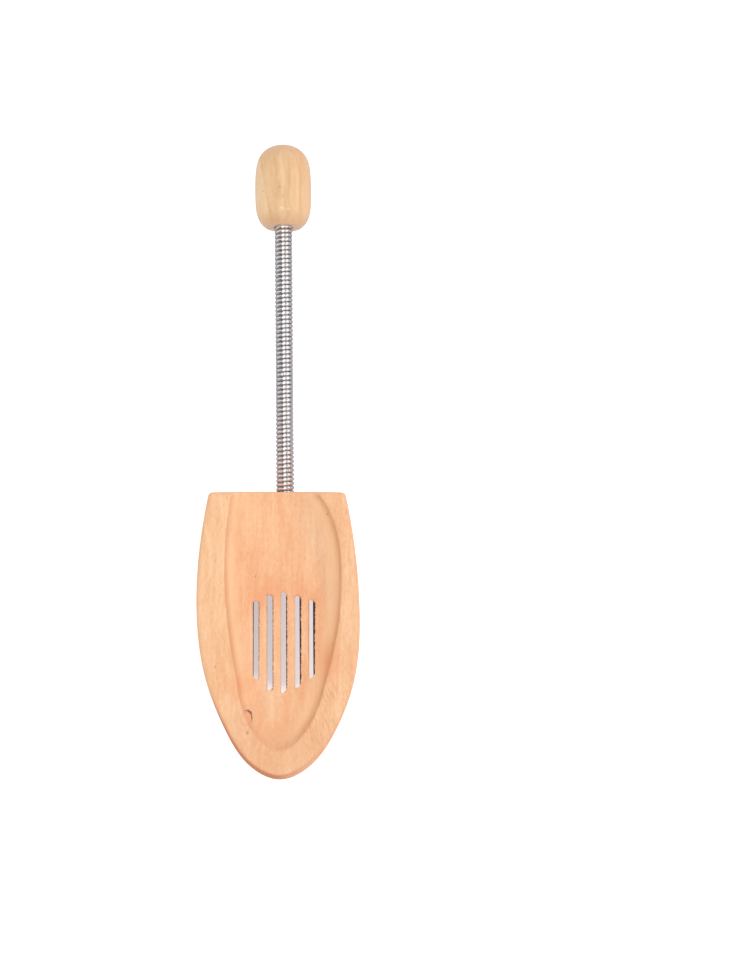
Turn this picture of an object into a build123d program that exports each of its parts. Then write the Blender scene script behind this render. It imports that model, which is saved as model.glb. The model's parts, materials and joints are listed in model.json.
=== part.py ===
from build123d import *
import os

# One spring shoe tree for a left shoe, lying with its scooped sole side up.
# Millimetres. +Z is up, the toe points to -Y, the heel knob is at +Y, +X is the inner
# side of the foot. While it's modelled, y = 0 is the back face of the toe block and the
# spring leaves it at x = 0. The last step centres the whole tree on the origin.

# Toe block
BLOCK_HEIGHT = 44.0
BLOCK_LENGTH = 126.9
BLOCK_MIDDLE = -2.2  # x of the line that the block narrows towards on its domed side
RIM_ROUND = 2.5
CORNER = 2.0  # rounding of the two upright back corners, in plan
# Half of the plan outline, as (distance from the back face, x on the outer side, x on
# the inner side)
OUTLINE = [
    (CORNER, -33.2, 27.8),
    (20.0, -36.3, 31.0),
    (50.0, -38.3, 33.7),
    (85.0, -33.6, 31.0),
    (105.0, -25.6, 23.4),
    (120.5, -15.2, 12.4),
]
TOE_TIP_X = -1.3
BACK_OUTER_X = -32.8
BACK_INNER_X = 27.4
# The domed side: at each height, the width as a share of the outline's, and how far the
# section reaches from the back face, first and last
DOME = [
    (0.0, 0.18, 7.0, 32.0),
    (1.0, 0.33, 3.5, 43.0),
    (3.0, 0.50, 1.0, 56.0),
    (7.0, 0.69, 0.0, 75.0),
    (12.0, 0.82, 0.0, 92.0),
    (19.0, 0.92, 0.0, 109.0),
    (28.0, 0.985, 0.0, 121.0),
    (35.0, 1.0, 0.0, 126.0),
    (40.0, 1.0, 0.0, BLOCK_LENGTH),
    (BLOCK_HEIGHT, 0.982, 0.0, 124.6),
]

# Scooped hollow in the sole side, open at the back face
SCOOP_OUTLINE = [
    (15.6, 0.0),
    (23.2, -15.0),
    (25.9, -38.0),
    (23.6, -64.0),
    (18.3, -86.0),
    (10.0, -105.5),
    (-2.0, -114.0),
    (-13.0, -106.0),
    (-20.5, -83.0),
    (-24.6, -55.0),
    (-25.7, -30.0),
    (-22.6, 0.0),
    (-14.0, 19.0),
    (3.0, 17.0),
]
SCOOP_CENTRE = (0.0, -46.0)
# How the hollow narrows: depth below the rim, share of its outline
SCOOP_PROFILE = [
    (-2.5, 1.04),
    (0.0, 1.0),
    (2.5, 0.955),
    (5.0, 0.895),
    (7.5, 0.80),
    (10.0, 0.665),
]
SCOOP_FLOOR_ROUND = 12.0
SCOOP_EDGE_ROUND = 0.8

# Vent slots, each one plunge of a small circular saw from the domed side
SLOT_WIDTH = 2.5
SLOT_TILT = 3.7  # degrees that the cuts lean towards the inner side
SLOT_MOUTH_Z = 34.0  # height of the hollow's floor, where the slots are spaced evenly
SLOT_PITCH = 6.25
SLOT_Y = -67.0
SAW_RADIUS = 36.0
SAW_CENTRE_Z = [2.6, 4.4, 5.3, 4.2, 3.0]  # from the outer side to the inner side

# Coil spring, close-wound and right-handed
SPRING_RADIUS = 4.0
WIRE = 1.9
PITCH = 2.0
SPRING_FREE = 121.4  # from the block's back face to the knob's face
SPRING_SEAT = 16.0  # length inside each bore
SPRING_Z = 22.87  # height of the axis at the back face
SPRING_SLOPE = 4.0  # degrees that it runs down towards the knob
SPRING_TURN = 0.6  # degrees that it runs towards the outer side
HINGES = 16
HINGE_STEP = 7.3
HINGE_GAP = 0.9
BORE_RADIUS = 4.1
BORE_DEPTH = 18.0
PEG_RADIUS = 2.0
PEG_LENGTH = 13.0

# Heel knob, turned; its profile as (distance from its face, radius)
KNOB_PROFILE = [
    (0.0, 7.8),
    (1.4, 9.6),
    (4.1, 11.4),
    (7.5, 12.4),
    (13.0, 12.85),
    (20.0, 12.9),
    (26.0, 12.6),
    (30.5, 11.8),
    (34.0, 10.1),
    (36.7, 7.0),
    (38.2, 2.5),
]


def block_section(z, width, first, last):
    """The block's outline at one height, as a face."""

    def point(x, reach):
        share = reach / BLOCK_LENGTH
        return (BLOCK_MIDDLE + (x - BLOCK_MIDDLE) * width, -first - share * (last - first), z)

    outer = [point(x, reach) for reach, x, _ in OUTLINE]
    inner = [point(x, reach) for reach, _, x in reversed(OUTLINE)]
    sides = Spline(*outer, point(TOE_TIP_X, BLOCK_LENGTH), *inner)
    inner_start = point(BACK_INNER_X - CORNER, 0.0)
    outer_end = point(BACK_OUTER_X + CORNER, 0.0)
    inner_corner = Bezier(inner[-1], point(BACK_INNER_X, 0.0), inner_start)
    outer_corner = Bezier(outer_end, point(BACK_OUTER_X, 0.0), outer[0])
    return make_face(sides + inner_corner + Line(inner_start, outer_end) + outer_corner)


def scoop_section(depth, share):
    """The hollow's outline at one depth, as a face."""
    cx, cy = SCOOP_CENTRE
    points = [
        (cx + (x - cx) * share, cy + (y - cy) * share, BLOCK_HEIGHT - depth)
        for x, y in SCOOP_OUTLINE
    ]
    return make_face(Spline(*points, periodic=True))


def scoop():
    """What is cut away for the hollow: sloping walls rounded into a flat floor."""
    cut = loft([scoop_section(*level) for level in SCOOP_PROFILE])
    floor = cut.faces().sort_by(Axis.Z)[0]
    return fillet(floor.edges(), SCOOP_FLOOR_ROUND)


def scoop_edge(body):
    """The edge where the hollow meets the rim: its second longest, after the outline."""
    rim = body.faces().filter_by(Axis.Z).sort_by(Axis.Z)[-1]
    return rim.edges().sort_by(SortBy.LENGTH)[-2]


def saw_slots():
    """The five saw plunges."""
    middle = (len(SAW_CENTRE_Z) - 1) / 2
    return [
        Pos((i - middle) * SLOT_PITCH, SLOT_Y, SLOT_MOUTH_Z)
        * Rot(0, SLOT_TILT, 0)
        * Pos(0, 0, z - SLOT_MOUTH_Z)
        * Rot(0, 90, 0)
        * Cylinder(SAW_RADIUS, SLOT_WIDTH)
        for i, z in enumerate(SAW_CENTRE_Z)
    ]


def along_spring(shape):
    """Moves a shape made along +Y from the origin onto the sloping spring axis."""
    return Pos(0, 0, SPRING_Z) * Rot(0, 0, SPRING_TURN) * Rot(-SPRING_SLOPE, 0, 0) * shape


def rod(radius, start, end):
    """A cylinder along Y from start to end."""
    return Pos(0, (start + end) / 2, 0) * Rot(90, 0, 0) * Cylinder(radius, end - start)


def toe_block():
    """Loft the body, round the rim, then cut the hollow, the slots and the spring's bore."""
    body = loft([block_section(*level) for level in DOME])
    body = fillet(body.faces().sort_by(Axis.Z)[-1].edges(), RIM_ROUND)
    body = body - scoop()
    body = fillet(scoop_edge(body), SCOOP_EDGE_ROUND)
    for slot in saw_slots():
        body = body - slot
    return body - along_spring(rod(BORE_RADIUS, -BORE_DEPTH, 5.0))


def coil(start, end):
    """The part of the spring from start to end, cut square at both ends."""
    spare = PITCH
    low = start - spare
    height = end - start + 2 * spare
    mean_radius = SPRING_RADIUS - WIRE / 2
    path = Helix(PITCH, height, mean_radius)
    section = Plane(origin=path @ 0, z_dir=path % 0) * Circle(WIRE / 2)
    turns = sweep(section, path, is_frenet=True)
    turns = Rot(-90, 0, 0) * turns
    turns = Pos(0, low, 0) * Rot(0, 360.0 * low / PITCH, 0) * turns
    slab = Pos(0, (start + end) / 2, 0) * Box(12, end - start, 12)
    return turns & slab


def coils():
    """The spring, cut at each hinge: one piece per rigid length."""
    first = (SPRING_FREE - (HINGES - 1) * HINGE_STEP) / 2
    cuts = [first + HINGE_STEP * i for i in range(HINGES)]
    starts = [-SPRING_SEAT] + [c + HINGE_GAP / 2 for c in cuts]
    ends = [c - HINGE_GAP / 2 for c in cuts] + [SPRING_FREE + SPRING_SEAT]
    return [coil(start, end) for start, end in zip(starts, ends)]


def heel_knob():
    """Revolve the barrel, then bore it for the spring."""
    points = [(radius, SPRING_FREE + reach, 0) for reach, radius in KNOB_PROFILE]
    curve = Spline(*points)
    near = (0, SPRING_FREE, 0)
    far = (0, SPRING_FREE + KNOB_PROFILE[-1][0], 0)
    half = make_face(Line(near, points[0]) + curve + Line(points[-1], far) + Line(far, near))
    barrel = revolve(half, Axis.Y)
    return barrel - rod(BORE_RADIUS, SPRING_FREE - 5.0, SPRING_FREE + BORE_DEPTH)


def all_parts():
    """Every node, in the modelling position."""
    parts = {"toe_block": toe_block()}
    for i, piece in enumerate(coils()):
        parts[f"spring_{i:02d}"] = along_spring(piece)
    peg_start = 2.0 - SPRING_SEAT
    parts["toe_peg"] = along_spring(rod(PEG_RADIUS, peg_start, peg_start + PEG_LENGTH))
    peg_end = SPRING_FREE + SPRING_SEAT - 1.0
    parts["heel_peg"] = along_spring(rod(PEG_RADIUS, peg_end - PEG_LENGTH, peg_end))
    parts["heel_knob"] = along_spring(heel_knob())
    return parts


parts = all_parts()
boxes = [shape.bounding_box() for shape in parts.values()]
middle_x = (min(b.min.X for b in boxes) + max(b.max.X for b in boxes)) / 2
middle_y = (min(b.min.Y for b in boxes) + max(b.max.Y for b in boxes)) / 2
lowest = min(b.min.Z for b in boxes)
shift = Pos(-middle_x, -middle_y, -lowest)
print("moved by", -middle_x, -middle_y, -lowest)

os.makedirs("parts", exist_ok=True)
for name, shape in parts.items():
    export_step(shift * shape, f"parts/{name}.step")
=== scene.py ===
import bpy
import json
import math
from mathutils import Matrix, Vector, noise

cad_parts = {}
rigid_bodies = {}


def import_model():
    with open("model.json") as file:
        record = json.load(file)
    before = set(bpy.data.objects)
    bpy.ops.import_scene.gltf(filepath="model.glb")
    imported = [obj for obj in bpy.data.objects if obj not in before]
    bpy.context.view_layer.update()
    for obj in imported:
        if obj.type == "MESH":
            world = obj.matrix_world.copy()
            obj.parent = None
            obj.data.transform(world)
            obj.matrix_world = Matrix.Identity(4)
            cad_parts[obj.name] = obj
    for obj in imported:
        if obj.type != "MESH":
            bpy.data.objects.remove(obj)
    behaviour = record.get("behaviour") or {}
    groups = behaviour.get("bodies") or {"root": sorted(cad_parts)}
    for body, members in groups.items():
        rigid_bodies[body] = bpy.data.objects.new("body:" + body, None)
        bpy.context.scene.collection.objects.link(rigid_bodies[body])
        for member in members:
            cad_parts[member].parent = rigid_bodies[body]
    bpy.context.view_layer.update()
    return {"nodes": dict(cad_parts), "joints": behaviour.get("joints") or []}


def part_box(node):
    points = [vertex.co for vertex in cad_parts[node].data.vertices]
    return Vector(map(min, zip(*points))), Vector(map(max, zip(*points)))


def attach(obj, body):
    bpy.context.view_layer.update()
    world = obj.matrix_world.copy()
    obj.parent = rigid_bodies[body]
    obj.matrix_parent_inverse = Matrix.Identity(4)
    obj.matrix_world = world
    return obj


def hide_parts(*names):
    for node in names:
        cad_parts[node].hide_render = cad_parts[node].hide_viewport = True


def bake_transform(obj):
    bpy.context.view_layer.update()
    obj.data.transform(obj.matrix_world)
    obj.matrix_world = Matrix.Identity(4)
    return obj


MM = 0.001

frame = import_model()

# ---------------------------------------------------------------- where things are
BLOCK_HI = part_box("toe_block")[1]
KNOB_LO, KNOB_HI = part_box("heel_knob")
HINGES = [Vector(j["pos_m"]) for j in frame["joints"]]
BODIES = [frame["joints"][0]["parent"]] + [j["child"] for j in frame["joints"]]
AXIS = (HINGES[-1] - HINGES[0]).normalized()
STEP = (HINGES[-1] - HINGES[0]).length / (len(HINGES) - 1)
BACK_Y = BLOCK_HI.y
SPRING_X = HINGES[0].x + AXIS.x / AXIS.y * (BACK_Y - HINGES[0].y)

# Wood. Places on the block are x, y and z in mm from its back edge on the sole side, at
# the point above the spring's axis.
COAT_ROUGHNESS = 0.07
KNOT = (-16.2, -99.5)
KNOT_STRETCH = 1.3
KNOT_DOT = (-15.4, -105.6)
# Place, radius, stretch along the grain, lean
SPECKS = [
    (KNOT_DOT, 0.5, 1.2, 0.0),
    ((19.6, -9.8), 0.4, 1.1, 0.6),
    ((-29.6, -76.6), 0.35, 1.0, 0.0),
    ((-12.6, -37.5), 0.28, 1.3, 0.0),
]
# Pale streaks: place, width, stretch, lean
PALE = [
    ((15.0, -24.0), 5.0, 2.6, 0.28),
    ((20.5, -44.0), 4.0, 3.0, 0.1),
    ((-6.0, -92.0), 6.0, 2.0, 0.0),
]
# Pinker patches: place, width
FLUSHES = [
    ((-11.0, -47.0), 4.0),
    ((13.5, -47.0), 3.0),
    ((6.5, -45.0), 4.0),
    ((-5.0, -44.0), 3.5),
    ((-20.5, -86.0), 4.0),
    ((20.0, -74.0), 5.0),
]
# On the knob, in mm from its middle: place, radius, stretch
KNOB_SPECKS = [
    ((-0.8, -2.4), 0.35, 2.0),
    ((-8.6, -3.6), 0.3, 1.0),
    ((0.45, -6.4), 0.25, 2.5),
]

# Vent slots at the hollow's floor: how many pitches from the middle, and both ends in y
SLOT_PITCH = 6.25
SLOT_HALF_WIDTH = 1.25
SLOTS_MIDDLE_Y = -67.0
SLOTS = [
    (-2, -49.4, -84.6),
    (-1, -46.5, -87.5),
    (0, -45.3, -88.7),
    (1, -46.8, -87.2),
    (2, -48.7, -85.3),
]
FRAY_BOTTOM = -13.0
FRAY_TOP = -9.5

# Spring
WIRE = 1.95 * MM
PITCH = 2.0 * MM
COIL_RADIUS = 4.1 * MM - WIRE / 2
INSIDE_BORE = 16 * MM
TURN_STEPS = 36
RING = 14

# Fineness of the copies of the CAD solids
BLOCK_VOXEL = 0.45 * MM
KNOB_VOXEL = 0.4 * MM
WELD_DISTANCE = 0.01 * MM

# Stage
FLOOR_REACH = 3.0
# Middle of the floor's painted shadow, under the vent slots
SHADE_Y = BACK_Y + SLOTS_MIDDLE_Y * MM
KEY_PLACE = (0.5, 0.4, 1.35)
KEY_SIZE = 0.9
KEY_POWER = 3.7
SHINE = 1.45
LAMP_WIDTH = 0.06
LAMP_STRENGTH = 6.0
# Dark bands that the spring mirrors: angle about Y in degrees, width, weakest strength
BANDS = [
    (-31.0, 8.0, 0.9),
    (27.0, 12.0, 0.5),
    (80.0, 8.0, 0.9),
]
# Directions of the soft lamps that only reflections show
LAMPS = [
    (-0.055, -0.16, 0.986),
    (0.42, -0.2, 0.885),
]

# Camera, looking straight down
CAMERA_HEIGHT = 0.66  # above the spring's first hinge
VIEW_LONG_SIDE = 440.802 * MM  # what the picture's long side takes in at that hinge
SENSOR = 36.0
CAMERA_X = 35.9 * MM
CAMERA_Y = 2.7 * MM


# ---------------------------------------------------------------- node helpers
class Nodes:
    """A small wrapper that makes and links shader nodes."""

    def __init__(self, tree):
        self.tree = tree
        tree.nodes.clear()

    def make(self, kind, inputs=None, **props):
        node = self.tree.nodes.new(kind)
        for key, value in props.items():
            setattr(node, key, value)
        for key, value in (inputs or {}).items():
            self.set(node.inputs[key], value)
        return node

    def set(self, socket, value):
        if isinstance(value, bpy.types.NodeSocket):
            self.tree.links.new(value, socket)
        else:
            socket.default_value = value

    def math(self, operation, a, b=0.0):
        node = self.make("ShaderNodeMath", operation=operation)
        self.set(node.inputs[0], a)
        self.set(node.inputs[1], b)
        return node.outputs[0]

    def add(self, a, b):
        return self.math("ADD", a, b)

    def subtract(self, a, b):
        return self.math("SUBTRACT", a, b)

    def times(self, first, *others):
        for other in others:
            first = self.math("MULTIPLY", first, other)
        return first

    def absolute(self, a):
        return self.math("ABSOLUTE", a)

    def vector(self, operation, a, b):
        node = self.make("ShaderNodeVectorMath", operation=operation)
        self.set(node.inputs[0], a)
        self.set(node.inputs[1], b)
        return node.outputs["Value" if operation in ("LENGTH", "DISTANCE") else 0]

    def combine(self, x=0.0, y=0.0, z=0.0):
        return self.make("ShaderNodeCombineXYZ", {"X": x, "Y": y, "Z": z}).outputs[0]

    def separate(self, vector):
        return self.make("ShaderNodeSeparateXYZ", {"Vector": vector}).outputs

    def place(self, kind):
        return self.make("ShaderNodeTexCoord").outputs[kind]

    def noise(self, coordinates, scale, detail=2.0, roughness=0.5):
        node = self.make(
            "ShaderNodeTexNoise",
            {
                "Vector": coordinates,
                "Scale": scale,
                "Detail": detail,
                "Roughness": roughness,
            },
        )
        return node.outputs["Fac"]

    def range(self, value, a, b, low=0.0, high=1.0):
        node = self.make(
            "ShaderNodeMapRange",
            {
                "Value": value,
                "From Min": a,
                "From Max": b,
                "To Min": low,
                "To Max": high,
            },
            clamp=True,
            interpolation_type="SMOOTHSTEP",
        )
        return node.outputs[0]

    def mix(self, share, a, b):
        node = self.make("ShaderNodeMix", data_type="RGBA")
        self.set(node.inputs["Factor"], share)
        self.set(node.inputs[6], a)
        self.set(node.inputs[7], b)
        return node.outputs[2]


def colour(r, g, b):
    """An sRGB colour, 0 to 255, as linear RGBA."""

    def linear(c):
        c /= 255.0
        return c / 12.92 if c <= 0.04045 else ((c + 0.055) / 1.055) ** 2.4

    return (linear(r), linear(g), linear(b), 1.0)


def new_material(name):
    material = bpy.data.materials.new(name)
    material.use_nodes = True
    return material, Nodes(material.node_tree)


def scaled(n, vector, factors):
    return n.vector("MULTIPLY", vector, factors)


def coordinates_mm(n):
    """The object's own coordinates, in millimetres."""
    return scaled(n, n.place("Object"), (1000.0,) * 3)


def own_normal(n):
    """The surface's direction in the object's own frame: x, y and z."""
    return n.separate(n.place("Normal"))


def gauss(n, distance, width):
    """1 where distance is 0, falling to nothing at about twice the width."""
    share = n.math("DIVIDE", distance, width)
    return n.math("POWER", 2.718, n.times(share, share, -1.0))


def spot_distance(n, x, y, place, stretch=1.0, lean=0.0):
    """Distance from a place, in mm; stretch makes the spot long in Y."""
    dx = n.subtract(x, place[0])
    dy = n.subtract(y, place[1])
    dx = n.add(dx, n.times(dy, lean))
    dy = n.math("DIVIDE", dy, stretch)
    return n.math("SQRT", n.add(n.times(dx, dx), n.times(dy, dy)))


# ---------------------------------------------------------------- wood
def grain_parts(n, x, y, z, seed):
    """The shares of broad colour, grain, fibre and pores at a point, in mm."""
    seeds = (seed * 13.7, seed * 31.1, seed * 7.9)
    at = n.vector("ADD", n.combine(x, y, z), seeds)
    waver = n.noise(scaled(n, at, (1.0, 0.6, 1.0)), 0.03, 2.0)
    drift = n.times(n.subtract(waver, 0.5), 9.0)
    warped = n.vector("ADD", at, n.combine(x=drift, z=drift))
    broad = n.range(n.noise(scaled(n, at, (1.0, 0.35, 1.0)), 0.09, 4.0, 0.65), 0.4, 0.6)
    grain = n.range(n.noise(scaled(n, warped, (1.0, 0.08, 0.5)), 0.5, 5.0, 0.7), 0.36, 0.64)
    fibre = n.range(n.noise(scaled(n, warped, (1.0, 0.3, 1.0)), 1.5, 3.0, 0.75), 0.4, 0.6)
    pore = n.range(n.noise(scaled(n, warped, (1.0, 0.2, 1.0)), 1.5, 1.0, 0.5), 0.7, 0.76)
    return broad, grain, fibre, pore


def wood_tone(n, parts, shares):
    """How far a point is towards the wood's darker colour."""
    broad, grain, fibre, _ = parts
    tone = n.add(n.times(grain, shares[0]), n.times(broad, shares[1]))
    return n.add(tone, n.times(fibre, shares[2]))


def finish_wood(n, base, parts, gloss, dents=None, coat=0.0):
    """The wood's shader, with raised fibres and sunken pores and dents."""
    fibre, pore = parts[2:]
    height = n.subtract(n.times(fibre, 0.6), pore)
    if dents is not None:
        height = n.subtract(height, dents)
    bump = n.make("ShaderNodeBump", {"Strength": 0.35, "Distance": 0.0001, "Height": height})
    shader = n.make(
        "ShaderNodeBsdfPrincipled",
        {
            "Base Color": base,
            "Roughness": n.range(fibre, 0.0, 1.0, gloss, gloss + 0.12),
            "Normal": bump.outputs[0],
            "Specular IOR Level": 0.4,
            "Coat Weight": coat,
            "Coat Roughness": COAT_ROUGHNESS,
        },
    )
    n.make("ShaderNodeOutputMaterial", {"Surface": shader.outputs[0]})


def plain_wood(name, light, dark, seed, coat=0.0, detail=None):
    """Fine straight-grained wood, the grain along Y."""
    material, n = new_material(name)
    at = n.separate(coordinates_mm(n))
    parts = grain_parts(n, at[0], at[1], at[2], seed)
    base = n.mix(wood_tone(n, parts, (0.5, 0.35, 0.15)), light, dark)
    base = n.mix(n.times(parts[3], 0.3), base, colour(168, 112, 70))
    if detail is not None:
        base = detail(n, base, at)
    finish_wood(n, base, parts, gloss=0.42, coat=coat)
    return material


def knob_bands_and_shade(n, base, x, y):
    """A pale band and a thin line on the left, a darker side that is partly the wood's tone and
    partly painted shade, and a line on the right.
    """
    waver = n.subtract(n.noise(n.combine(y=y), 0.12, 2.0), 0.5)
    left = n.add(x, n.add(n.times(y, 0.17), n.times(waver, 1.2)))
    base = n.mix(n.times(n.range(left, -7.6, -9.0), 0.45), base, colour(236, 204, 156))
    line = gauss(n, n.add(left, 7.8), 0.5)
    base = n.mix(n.times(line, 0.2), base, colour(200, 148, 96))
    # Darker right side: partly the wood's tone, partly painted shade
    base = n.mix(n.range(x, 2.0, 11.0, 0.0, 0.4), base, colour(212, 160, 108))
    right = n.add(x, n.times(waver, 2.0))
    line = gauss(n, n.subtract(right, 8.4), 0.6)
    return n.mix(n.times(line, 0.28), base, colour(206, 150, 98))


def knob_detail(n, base, at):
    """Growth bands, pores, darker ends, and painted shade on the lower sides."""
    place = (KNOB_LO + KNOB_HI) / 2 / MM
    x = n.subtract(at[0], place.x)
    y = n.subtract(at[1], place.y)
    base = knob_bands_and_shade(n, base, x, y)
    for spot, radius, stretch in KNOB_SPECKS:
        speck = gauss(n, spot_distance(n, x, y, spot, stretch), radius)
        base = n.mix(n.times(speck, 0.6), base, colour(186, 118, 74))
    facing = own_normal(n)
    ends = n.range(n.absolute(facing[1]), 0.05, 0.8)
    base = n.mix(n.times(ends, 0.7), base, colour(206, 160, 120))
    front = n.range(facing[1], -0.86, -0.94)
    base = n.mix(n.times(front, 0.35), base, colour(210, 164, 136))
    # Painted shade on the lower sides, where they turn down
    edge = n.range(facing[2], 0.5, 0.1)
    return n.mix(n.times(edge, 0.35), base, colour(202, 164, 128))


# ---------------------------------------------------------------- the block's wood
def knot_distance(n, x, y):
    """Distance from the knot in mm, uneven so that its ring isn't a true oval."""
    knot = spot_distance(n, x, y, KNOT, KNOT_STRETCH)
    uneven = n.subtract(n.noise(n.combine(x, y), 0.45, 2.0), 0.5)
    return n.add(knot, n.times(uneven, 1.6))


def grain_round_knot(n, x, knot):
    """x for the grain, squeezed so that the lines bend round the knot."""
    pinch = n.subtract(1.0, n.times(gauss(n, knot, 6.0), 0.8))
    return n.add(KNOT[0], n.times(n.subtract(x, KNOT[0]), pinch))


def pale_streaks(n, base, tone, x, y, where):
    """Paler streaks in the hollow."""
    streak = n.mix(tone, colour(242, 204, 168), colour(230, 184, 144))
    for place, width, stretch, lean in PALE:
        pale = gauss(n, spot_distance(n, x, y, place, stretch, lean), width)
        base = n.mix(n.times(pale, 0.6, where), base, streak)
    return base


def hollow_mask(n, deep, facing, x, y, z):
    """1 on the hollow's walls and floor, 0 on the block's outer sides."""
    outward_x = n.times(facing[0], n.math("DIVIDE", x, 30.0))
    outward_y = n.times(facing[1], n.math("DIVIDE", n.add(y, 50.0), 60.0))
    outward = n.add(outward_x, outward_y)
    return n.times(deep, n.range(z, -11.0, -10.2), n.range(outward, 0.12, 0.0))


def painted_light_on_hollow_walls(n, base, hollow, facing):
    """The hollow's walls made lighter as painted light, most where they turn from the light."""
    steep = n.times(n.range(facing[2], 0.85, 0.45), 0.75)
    sloping = n.times(n.range(facing[2], 0.99, 0.7), n.range(facing[0], 0.2, -0.35, 0.0, 0.6))
    # Painted light: steep walls, and walls facing away from the light, are made lighter
    slope = n.times(hollow, n.math("MAXIMUM", steep, sloping))
    return n.mix(slope, base, colour(255, 213, 170))


def outer_sides(n, base, hollow, facing, y, z):
    """Darker sides as painted shade, and redder end grain round the toe, partly painted shade."""
    # Painted shade on the outer sides, where they turn down from the top
    side = n.times(n.range(facing[2], 0.99, 0.5), n.subtract(1.0, hollow))
    base = n.mix(n.times(side, 0.32), base, colour(200, 138, 102))
    base = n.mix(n.range(y, -96.0, -112.0, 0.0, 0.25), base, colour(222, 162, 122))
    # Partly end grain, partly painted shade on the edges that face away from the light
    end_grain_and_shade = n.times(
        n.range(facing[1], -0.03, -0.4),
        n.range(facing[0], 0.5, -0.2, 0.2, 1.0),
        n.range(y, -82.0, -104.0),
        n.range(z, -7.0, -1.5, 0.35, 1.0),
    )
    return n.mix(n.times(end_grain_and_shade, 0.95), base, colour(196, 124, 88))


def flushes(n, base, x, y, near_top):
    """Pinker patches."""
    for place, width in FLUSHES:
        flush = n.times(gauss(n, spot_distance(n, x, y, place, 1.5), width), 0.5)
        base = n.mix(n.times(flush, near_top), base, colour(232, 152, 106))
    return base


def knot_marks(n, base, knot, x, y, near_top):
    """The knot's disc and halo, and the dark arc on one side of it, which is also a dent."""
    disc = n.times(n.range(knot, 2.7, 2.1), near_top)
    base = n.mix(n.times(disc, 0.45), base, colour(232, 168, 130))
    halo = n.times(gauss(n, n.subtract(knot, 3.6), 1.4), 0.14)
    base = n.mix(n.times(halo, near_top), base, colour(196, 134, 100))
    ring = gauss(n, n.subtract(knot, 2.4), 0.3)
    towards_arc = n.add(n.subtract(x, KNOT[0]), n.times(n.subtract(y, KNOT[1]), 0.6))
    arc = n.times(ring, n.range(towards_arc, 0.8, 2.8, 0.1, 0.95))
    return n.mix(n.times(arc, near_top), base, colour(112, 62, 50)), arc


def specks(n, base, dents, x, y, near_top):
    """Small dark pits."""
    for place, radius, stretch, lean in SPECKS:
        distance = spot_distance(n, x, y, place, stretch, lean)
        speck = n.times(gauss(n, distance, radius), near_top)
        base = n.mix(n.times(speck, 0.6), base, colour(132, 76, 56))
        dents = n.add(dents, speck)
    return base, dents


def tool_marks(n, x, y, z):
    """Short slanting scratches along the inner rim, near the toe."""
    on_rim = n.times(n.range(z, -3.0, -0.8), n.range(y, -83.0, -87.0))
    across = n.add(x, n.times(y, 0.36))
    place = n.combine(across, n.times(y, 0.16))
    strokes = n.range(n.noise(place, 0.95, 0.0, 0.4), 0.58, 0.68)
    inner = n.range(x, 7.0, 12.0)
    end = n.range(y, -114.0, -110.0)
    return n.times(strokes, n.times(on_rim, n.times(inner, end)))


def torn_and_shaded_edges(n, x, y, z):
    """Burnt, torn wood along the slots' inner-side edges and at their ends, partly painted shade of
    the walls below.
    """
    column = n.math("ROUND", n.math("DIVIDE", x, SLOT_PITCH))
    dx = n.subtract(x, n.times(column, SLOT_PITCH))
    half_length = n.subtract(21.7, n.times(column, column, 0.95))
    past = n.subtract(n.absolute(n.subtract(y, SLOTS_MIDDLE_Y)), half_length)
    torn = n.noise(n.combine(n.times(x, 0.5), y), 1.1, 2.0)
    # Dark line along each slot's edge: partly torn wood, partly painted shade of the wall in shadow
    edge = n.times(gauss(n, n.subtract(dx, 1.35), 0.24), n.range(past, 0.4, -0.2))
    edge = n.times(edge, n.range(torn, 0.42, 0.58))
    end = n.times(gauss(n, past, 0.55), n.range(n.absolute(dx), 1.6, 1.2))
    end = n.times(end, n.range(torn, 0.48, 0.58))
    there = n.times(n.range(z, -9.6, -9.9), n.range(n.absolute(column), 2.6, 2.4))
    return n.times(n.math("MAXIMUM", edge, end), there, 0.8)


def inside_slots(n, x, y, z):
    """1 on the slots' walls, below the hollow's floor."""
    deep = n.times(n.range(z, -10.1, -10.7), n.range(z, -41.0, -39.0))
    across = n.range(n.absolute(x), 19.0, 17.0)
    along = n.times(n.range(y, -95.0, -93.0), n.range(y, -40.0, -42.0))
    return n.times(deep, n.times(across, along))


def slot_wood(n, base, fibre, facing, x, y, z):
    """Torn edges, and dark rough walls inside the slots, both partly painted shade."""
    base = n.mix(torn_and_shaded_edges(n, x, y, z), base, colour(104, 60, 50))
    on_wall = n.range(n.absolute(facing[0]), 0.75, 0.92)
    # Dark wall colour: partly rough sawn wood, partly painted shade
    wall = n.mix(n.range(fibre, 0.2, 0.8), colour(100, 60, 48), colour(178, 118, 90))
    return n.mix(n.times(inside_slots(n, x, y, z), on_wall), base, wall)


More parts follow.
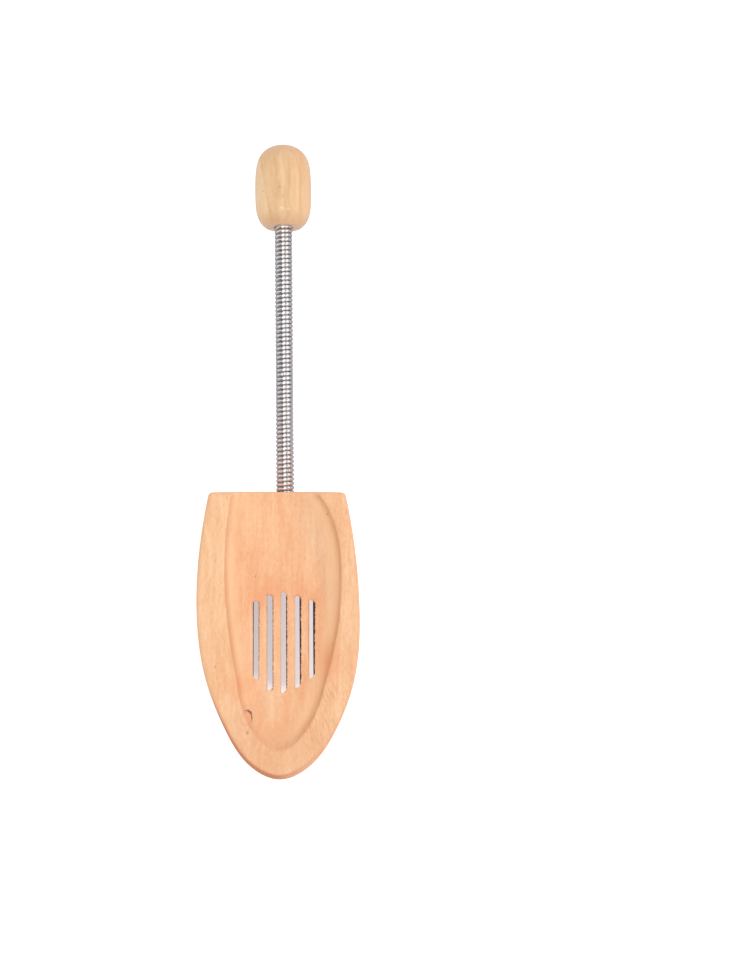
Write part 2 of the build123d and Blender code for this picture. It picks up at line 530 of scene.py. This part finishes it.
def block_wood():
    """The toe block's wood: paler towards the outer rim, pinker in the hollow, with a knot."""
    material, n = new_material("block_wood")
    to_back_edge = (-SPRING_X / MM, -BACK_Y / MM, -BLOCK_HI.z / MM)
    x, y, z = n.separate(n.vector("ADD", coordinates_mm(n), to_back_edge))
    near_top = n.range(z, -16.0, -12.0)
    deep = n.range(z, -0.2, -5.0)
    facing = own_normal(n)
    hollow = hollow_mask(n, deep, facing, x, y, z)
    knot = knot_distance(n, x, y)
    parts = grain_parts(n, grain_round_knot(n, x, knot), y, z, 1)
    fibre, pore = parts[2:]
    tone = wood_tone(n, parts, (0.36, 0.34, 0.3))

    base = n.mix(tone, colour(245, 201, 160), colour(229, 168, 122))
    pinker = n.mix(tone, colour(245, 194, 151), colour(237, 168, 123))
    base = n.mix(n.times(deep, 0.5), base, pinker)
    paler = n.mix(tone, colour(245, 204, 160), colour(234, 180, 132))
    base = n.mix(n.times(n.range(x, -15.0, -31.0), 0.5), base, paler)
    base = pale_streaks(n, base, tone, x, y, n.times(deep, near_top))
    base = painted_light_on_hollow_walls(n, base, hollow, facing)
    base = outer_sides(n, base, hollow, facing, y, z)
    base = flushes(n, base, x, y, near_top)
    base = n.mix(n.times(pore, 0.22), base, colour(176, 106, 66))
    base, dents = knot_marks(n, base, knot, x, y, near_top)
    base, dents = specks(n, base, dents, x, y, near_top)
    marks = tool_marks(n, x, y, z)
    base = n.mix(n.times(marks, 0.3), base, colour(208, 144, 104))
    base = slot_wood(n, base, fibre, facing, x, y, z)
    finish_wood(n, base, parts, gloss=0.45, dents=n.add(dents, marks))
    return material


def steel(name, tint):
    """Bright plated wire, slightly smeared."""
    material, n = new_material(name)
    smear = n.range(n.noise(coordinates_mm(n), 0.9, 2.0), 0.3, 0.7)
    shader = n.make(
        "ShaderNodeBsdfPrincipled",
        {
            "Base Color": tint,
            "Metallic": 1.0,
            "Roughness": n.range(smear, 0.0, 1.0, 0.05, 0.12),
            "Specular Tint": (0.5, 0.5, 0.52, 1.0),
        },
    )
    n.make("ShaderNodeOutputMaterial", {"Surface": shader.outputs[0]})
    return material


BLOCK_WOOD = block_wood()
KNOB_WOOD = plain_wood(
    "knob_wood", colour(232, 196, 152), colour(216, 170, 118), seed=4, coat=0.8, detail=knob_detail
)
PEG_WOOD = plain_wood("peg_wood", colour(222, 184, 136), colour(204, 160, 112), seed=9)
SPRING_STEEL = steel("spring_steel", colour(224, 221, 222))


# ---------------------------------------------------------------- meshes
def add_object(name, vertices, faces, material, smooth=True):
    mesh = bpy.data.meshes.new(name)
    mesh.from_pydata([tuple(v) for v in vertices], [], faces)
    mesh.materials.append(material)
    mesh.update()
    if smooth:
        mesh.shade_smooth()
    obj = bpy.data.objects.new(name, mesh)
    bpy.context.scene.collection.objects.link(obj)
    return obj


def remeshed(node, name, voxel, material):
    """A fine, even copy of a CAD node's mesh."""
    mesh = frame["nodes"][node].data.copy()
    mesh.materials.clear()
    obj = bpy.data.objects.new(name, mesh)
    bpy.context.scene.collection.objects.link(obj)
    weld = obj.modifiers.new("weld", "WELD")
    weld.merge_threshold = WELD_DISTANCE
    remesh = obj.modifiers.new("remesh", "REMESH")
    remesh.mode = "VOXEL"
    remesh.voxel_size = voxel
    smooth = obj.modifiers.new("smooth", "SMOOTH")
    smooth.factor = 0.5
    smooth.iterations = 3
    depsgraph = bpy.context.evaluated_depsgraph_get()
    final = bpy.data.meshes.new_from_object(obj.evaluated_get(depsgraph))
    obj.modifiers.clear()
    obj.data = final
    final.name = name
    final.materials.clear()
    final.materials.append(material)
    final.shade_smooth()
    return obj


def fray_vertex(vertex, y, z, slot, dx):
    """Move one vertex near a slot's mouth; dx is its distance from the slot's middle, in mm."""
    column, upper, lower = slot
    past_edge = max(0.0, abs(dx) - SLOT_HALF_WIDTH)
    reach = max(0.0, 1.0 - past_edge / 0.7) * min(1.0, (z - FRAY_BOTTOM) / 2.5)
    if reach <= 0.0 or not lower - 2.0 < y < upper + 2.0:
        return
    middle = column * SLOT_PITCH
    rough = 0.6 * noise.noise((dx * 0.3, y * 0.9, middle)) + noise.noise((dx, y * 1.9, middle + 5.0))
    vertex.co.x += (0.34 if dx > 0 else 0.12) * rough * reach * MM
    if y < lower + 1.6:
        vertex.co.y += (0.55 * dx + 0.5 * rough) * reach * MM
    if y > upper - 1.6:
        vertex.co.y += (0.5 * rough - 0.25 * dx) * reach * MM


def fray_slots(obj):
    """Roughen the slots' mouths and slant their ends, as a saw leaves them."""
    for vertex in obj.data.vertices:
        x = (vertex.co.x - SPRING_X) / MM
        y = (vertex.co.y - BACK_Y) / MM
        z = (vertex.co.z - BLOCK_HI.z) / MM
        if FRAY_BOTTOM < z < FRAY_TOP:
            for slot in SLOTS:
                fray_vertex(vertex, y, z, slot, x - slot[0] * SLOT_PITCH)


# ---------------------------------------------------------------- spring
def wire_piece(name, start, end):
    """The spring's wire from start to end, in metres along the axis from the first hinge."""
    u = Vector((1, 0, 0))
    v = AXIS.cross(u)
    slope = PITCH / (2 * math.pi)
    steps = max(2, round((end - start) / PITCH * TURN_STEPS))
    vertices, faces = [], []
    for i in range(steps + 1):
        s = start + (end - start) * i / steps
        a = 2 * math.pi * s / PITCH
        out = u * math.cos(a) + v * math.sin(a)
        side = -u * math.sin(a) + v * math.cos(a)
        centre = HINGES[0] + AXIS * s + out * COIL_RADIUS
        tangent = (side * COIL_RADIUS + AXIS * slope).normalized()
        across = tangent.cross(out)
        for k in range(RING):
            b = 2 * math.pi * k / RING
            vertices.append(centre + (out * math.cos(b) + across * math.sin(b)) * (WIRE / 2))
    for i in range(steps):
        for k in range(RING):
            a0, a1 = i * RING + k, i * RING + (k + 1) % RING
            faces.append((a0, a1, a1 + RING, a0 + RING))
    faces.append(tuple(reversed(range(RING))))
    faces.append(tuple(range(steps * RING, (steps + 1) * RING)))
    obj = add_object(name, vertices, faces, SPRING_STEEL)
    return obj


def build_spring():
    """One helix: a rigid piece at each end, and a piece across each hinge."""
    half = STEP / 2
    block_face = (BACK_Y - HINGES[0].y) / AXIS.y
    first = wire_piece("wire_toe_end", block_face - INSIDE_BORE, -half)
    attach(first, BODIES[0])
    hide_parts("spring_00")
    for k, hinge in enumerate(HINGES):
        piece = wire_piece(f"wire_{k + 1:02d}", k * STEP - half, k * STEP + half)
        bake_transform(piece)
        if k + 1 < len(HINGES):
            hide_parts(f"spring_{k + 1:02d}")
    low = (len(HINGES) - 1) * STEP + half
    knob_face = (KNOB_LO.y - HINGES[0].y) / AXIS.y
    last = wire_piece("wire_heel_end", low, knob_face + INSIDE_BORE)
    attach(last, BODIES[-1])
    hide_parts(f"spring_{len(HINGES):02d}")


# ---------------------------------------------------------------- block, knob, pegs
def build_block():
    block = remeshed("toe_block", "block_look", BLOCK_VOXEL, BLOCK_WOOD)
    fray_slots(block)
    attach(block, "block")
    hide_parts("toe_block")


def build_knob():
    knob = remeshed("heel_knob", "knob_look", KNOB_VOXEL, KNOB_WOOD)
    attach(knob, "heel")
    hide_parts("heel_knob")


def colour_pegs():
    for node in ("toe_peg", "heel_peg"):
        materials = frame["nodes"][node].data.materials
        materials.clear()
        materials.append(PEG_WOOD)


build_spring()
build_block()
build_knob()
colour_pegs()


# ---------------------------------------------------------------- floor, light, camera
def floor_white():
    """A glowing white floor, with painted shadow under the block, a dimmer glow left of the spring,
    and plain grey in reflections.
    """
    material, n = new_material("floor_white")
    spot = n.vector("DISTANCE", n.place("Object"), (SPRING_X, SHADE_Y, 0.0))
    # Painted shadow on the floor under the slots
    under = n.range(spot, 0.03, 0.022)
    tint = n.mix(under, (0.92, 0.92, 0.93, 1.0), (0.22, 0.26, 0.28, 1.0))
    diffuse = n.make("ShaderNodeBsdfDiffuse", {"Color": tint})
    across = n.subtract(n.separate(n.place("Object"))[0], SPRING_X)
    strength = n.range(across, -0.02, 0.02, 0.5, 0.72)
    glow = n.make("ShaderNodeEmission", {"Color": (1.0, 0.90, 0.93, 1.0), "Strength": strength})
    both = n.make("ShaderNodeAddShader")
    n.set(both.inputs[0], diffuse.outputs[0])
    n.set(both.inputs[1], glow.outputs[0])
    mirrored = n.make("ShaderNodeEmission", {"Color": (0.62, 0.62, 0.64, 1.0)})
    in_shine = n.make("ShaderNodeMixShader")
    n.set(in_shine.inputs[0], n.make("ShaderNodeLightPath").outputs["Is Glossy Ray"])
    n.set(in_shine.inputs[1], both.outputs[0])
    n.set(in_shine.inputs[2], mirrored.outputs[0])
    n.make("ShaderNodeOutputMaterial", {"Surface": in_shine.outputs[0]})
    return material


def build_floor():
    s = FLOOR_REACH
    corners = [(-s, -s, 0), (s, -s, 0), (s, s, 0), (-s, s, 0)]
    floor = add_object("floor", corners, [(0, 1, 2, 3)], floor_white(), smooth=False)


def dark_bands(n, angle, endwise):
    """The dark bands that the spring's turns mirror, from 0 to 1."""
    dark = 0.0
    for direction, width, weakest in BANDS:
        band = gauss(n, n.subtract(angle, direction), width)
        band = n.times(band, n.range(endwise, 0.1, 0.45, weakest, 0.97))
        dark = n.math("MAXIMUM", dark, band)
    return dark


def add_lamps(n, shine, toward):
    """Soft lamps that are seen only in reflections."""
    for direction in LAMPS:
        away = n.vector("MULTIPLY", n.vector("SUBTRACT", toward, direction), (0.4, 1.0, 1.0))
        lamp = gauss(n, n.vector("LENGTH", away, (0.0, 0.0, 0.0)), LAMP_WIDTH)
        shine = n.add(shine, n.times(lamp, LAMP_STRENGTH))
    return shine


def build_world():
    """Even white light, with bands and lamps for reflected rays only."""
    world = bpy.data.worlds.new("studio")
    bpy.context.scene.world = world
    world.use_nodes = True
    n = Nodes(world.node_tree)
    toward = n.place("Generated")
    wx, wy, wz = n.separate(toward)
    angle = n.times(n.math("ARCTAN2", wx, wz), 180.0 / math.pi)
    endwise = n.absolute(wy)
    level = n.range(angle, -40.0, 15.0, 0.88, 1.04)
    shine = n.times(n.subtract(1.0, dark_bands(n, angle, endwise)), SHINE)
    left_side = n.range(endwise, 0.2, 0.6, 1.1, 0.14)
    shine = n.mix(n.range(angle, -24.0, -36.0), shine, left_side)
    shine = add_lamps(n, shine, toward)
    reflected = n.make("ShaderNodeLightPath").outputs["Is Glossy Ray"]
    background = n.make(
        "ShaderNodeBackground",
        {
            "Color": (1.0, 0.99, 0.98, 1.0),
            "Strength": n.mix(reflected, level, shine),
        },
    )
    n.make("ShaderNodeOutputWorld", {"Surface": background.outputs[0]})


def build_key_light():
    light = bpy.data.lights.new("key", "AREA")
    light.shape = "RECTANGLE"
    light.size = KEY_SIZE
    light.size_y = KEY_SIZE
    light.energy = KEY_POWER
    obj = bpy.data.objects.new("key", light)
    obj.location = KEY_PLACE
    obj.rotation_euler = (-Vector(KEY_PLACE)).to_track_quat("-Z", "Y").to_euler()
    obj.visible_glossy = False
    bpy.context.scene.collection.objects.link(obj)


def build_camera():
    data = bpy.data.cameras.new("camera")
    data.sensor_width = SENSOR
    data.lens = SENSOR * CAMERA_HEIGHT / VIEW_LONG_SIDE
    data.clip_start = 0.05
    data.clip_end = 20.0
    camera = bpy.data.objects.new("camera", data)
    camera.location = (SPRING_X + CAMERA_X, BACK_Y + CAMERA_Y, HINGES[0].z + CAMERA_HEIGHT)
    bpy.context.scene.collection.objects.link(camera)
    bpy.context.scene.camera = camera
    bpy.context.scene.view_settings.view_transform = "Standard"


build_floor()
build_world()
build_key_light()
build_camera()
